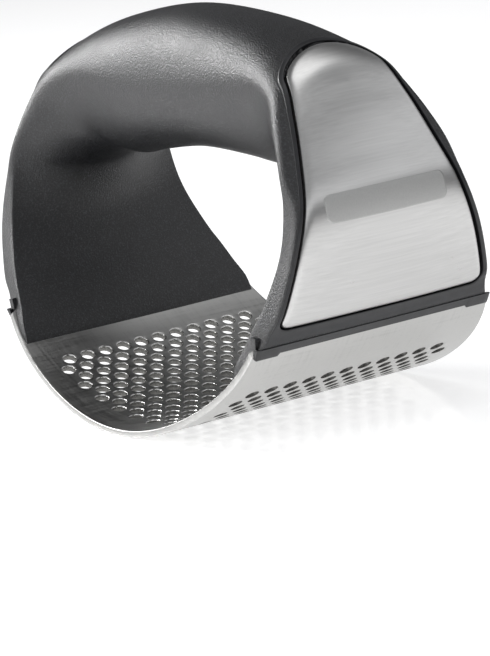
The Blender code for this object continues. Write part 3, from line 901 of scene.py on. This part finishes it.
def make_lip_strip(name, side):
    """The strip along an arm's lower edge, with a tab at each end that reaches lower."""
    tab_start = LIP_HALF_WIDTH - TAB_WIDTH
    loops = []
    for y in lip_places():
        drop = TAB_DROP * smooth_step((abs(y) - tab_start + 0.45 * MM) / TAB_RAMP)
        near_end = smooth_step((abs(y) - LIP_HALF_WIDTH + LIP_END_ROUNDING) / LIP_END_ROUNDING)
        shrink = LIP_END_ROUNDING * near_end**2
        low = LIP_RUN - drop + shrink
        thick = LIP_THICKNESS - shrink
        top = outer_points(np.array(LIP_TOP_STATION), np.array(y * LIP_TOP_NARROWING), 0.1 * MM - shrink)
        runs = (low, low, low + 0.12 * MM, low + 0.4 * MM)
        depths = SHEET_THICKNESS + np.array([-0.2 * MM, thick - 0.25 * MM, thick - 0.05 * MM, thick])
        outline = [sheet_points(np.array(run), np.array(y), depth) for run, depth in zip(runs, depths)]
        for back, down in LIP_TOP_EDGE:
            outline.append(np.array([top[0] - back * MM, y, top[2] - down * MM]))
        loop = np.array(outline)
        loop[:, 0] *= side
        loops.append(loop)
    vertices = np.concatenate(loops)
    count = len(loops[0])
    faces = grid_faces(len(loops), count, closed=True)
    faces.append(tuple(range(count)))
    faces.append(tuple(range(len(vertices) - count, len(vertices))))
    piece = make_piece(f"clamp_strip_{name}", vertices, faces, SATIN, [f"lip_strip_{name}"])
    fix_normals(piece)
    piece.data.set_sharp_from_angle(angle=math.radians(40))


make_sieve_plate()
make_handle_body()
for side_name, side_sign in SIDES:
    make_side_cover(side_name, side_sign)
    make_inlay(side_name, side_sign)
    make_etched_field(side_name, side_sign)
    make_lip_strip(side_name, side_sign)
for node_name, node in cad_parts.items():
    if node_name.startswith("slot_plug"):
        node.data.materials.clear()
        node.data.materials.append(PLASTIC)


# ---- floor, light and camera ----


FLOOR_HALF = 8.0
FLOOR_DROP = 0.0002  # below the press, so that their faces don't coincide


def make_floor():
    """A large pale square just below the press."""
    mesh = bpy.data.meshes.new("floor")
    corners = [(x * FLOOR_HALF, y * FLOOR_HALF, 0) for x, y in ((-1, -1), (1, -1), (1, 1), (-1, 1))]
    mesh.from_pydata(corners, [], [(0, 1, 2, 3)])
    floor = bpy.data.objects.new("floor", mesh)
    bpy.context.scene.collection.objects.link(floor)
    mesh.materials.append(floor_surface())
    floor.location.z = -FLOOR_DROP


def add_light(name, place, target, size, power, size_y=None):
    """An area light of this size, in metres and watts, that faces the target."""
    lamp = bpy.data.lights.new(name, "AREA")
    lamp.energy = power
    lamp.size = size
    if size_y:
        lamp.shape = "RECTANGLE"
        lamp.size_y = size_y
    light = bpy.data.objects.new(name, lamp)
    bpy.context.scene.collection.objects.link(light)
    light.location = place
    direction = Vector(target) - Vector(place)
    light.rotation_euler = direction.to_track_quat("-Z", "Y").to_euler()


CAMERA_AZIMUTH = math.radians(58.544)
CAMERA_ELEVATION = math.radians(10.608)
CAMERA_ROLL = math.radians(-7.681)
CAMERA_TARGET = (-0.001778, 0.001666, 0.014041)
CAMERA_DISTANCE = 0.6557
CAMERA_LENS = 184.42  # mm, for a sensor of SENSOR mm along the frame's height
SENSOR = 36.0


def make_camera():
    """A long lens at the viewing angle; the target is the point that lands at the middle of the frame."""
    azimuth, elevation, roll = CAMERA_AZIMUTH, CAMERA_ELEVATION, CAMERA_ROLL
    across, ahead = math.cos(azimuth), math.sin(azimuth)
    back = np.array([ahead * math.cos(elevation), -across * math.cos(elevation), math.sin(elevation)])
    right = np.array([across, ahead, 0])
    up = np.cross(back, right)
    rolled_right = math.cos(roll) * right + math.sin(roll) * up
    rolled_up = -math.sin(roll) * right + math.cos(roll) * up
    lens = bpy.data.cameras.new("camera")
    lens.sensor_fit = "VERTICAL"
    lens.sensor_height = SENSOR
    lens.lens = CAMERA_LENS
    lens.clip_end = 50
    camera = bpy.data.objects.new("camera", lens)
    bpy.context.scene.collection.objects.link(camera)
    axes = np.stack([rolled_right, rolled_up, back], 1)
    place = Vector(np.array(CAMERA_TARGET) + back * CAMERA_DISTANCE)
    camera.matrix_world = Matrix.Translation(place) @ Matrix(axes.tolist()).to_4x4()
    bpy.context.scene.camera = camera


# World brightness against the sine of the elevation, on a scale from 0 to 1: floor glow, a dark horizon, and
# soft studio bands above it on the side of positive X.
WORLD_BANDS = (
    (0.0, 0.8), (0.48, 0.8), (0.5, 0.1), (0.54, 0.1), (0.58, 0.3), (0.63, 0.34),
    (0.67, 1.1), (0.71, 1.05), (0.78, 0.4), (0.88, 0.42), (1.0, 0.75),
)
WORLD_TINT = (1, 1.01, 1.03)
DARK_SIDE_STRENGTH = 0.3  # of the world where its direction's X is below DARK_SIDE_X
BRIGHT_SIDE_STRENGTH = 1.0  # and where it is above BRIGHT_SIDE_X
DARK_SIDE_X = -0.3
BRIGHT_SIDE_X = 0.2


def make_world():
    """Studio bands by elevation, dimmer on the side of negative X."""
    world = bpy.data.worlds.new("studio")
    world.use_nodes = True
    tree = world.node_tree
    background = tree.nodes["Background"]
    coordinates = add_node(tree, "ShaderNodeTexCoord")
    split = add_node(tree, "ShaderNodeSeparateXYZ")
    tree.links.new(coordinates.outputs["Generated"], split.inputs[0])
    height = add_node(tree, "ShaderNodeMapRange")
    height.inputs["From Min"].default_value = -1
    height.inputs["From Max"].default_value = 1
    tree.links.new(split.outputs["Z"], height.inputs["Value"])
    bands = add_node(tree, "ShaderNodeValToRGB")
    elements = bands.color_ramp.elements
    while len(elements) < len(WORLD_BANDS):
        elements.new(0.5)
    for element, (place, level) in zip(elements, WORLD_BANDS):
        element.position = place
        element.color = (*(level * tint for tint in WORLD_TINT), 1)
    tree.links.new(height.outputs["Result"], bands.inputs["Fac"])
    tree.links.new(bands.outputs["Color"], background.inputs["Color"])
    side = add_node(tree, "ShaderNodeMapRange")
    side.inputs["From Min"].default_value = DARK_SIDE_X
    side.inputs["From Max"].default_value = BRIGHT_SIDE_X
    side.inputs["To Min"].default_value = DARK_SIDE_STRENGTH
    side.inputs["To Max"].default_value = BRIGHT_SIDE_STRENGTH
    tree.links.new(split.outputs["X"], side.inputs["Value"])
    tree.links.new(side.outputs["Result"], background.inputs["Strength"])
    bpy.context.scene.world = world


make_floor()
make_world()
make_camera()
bpy.context.scene.view_settings.view_transform = "Standard"
add_light("side_softbox", (-0.95, -0.4, 0.5), (0, 0, 0.05), 0.5, 10, 0.35)
add_light("overhead", (0.2, 0.15, 1.6), (0, 0, 0.0), 1.0, 3.5)
add_light("front_left", (-0.5, -1.3, 0.45), (0, 0, 0.05), 0.6, 8)
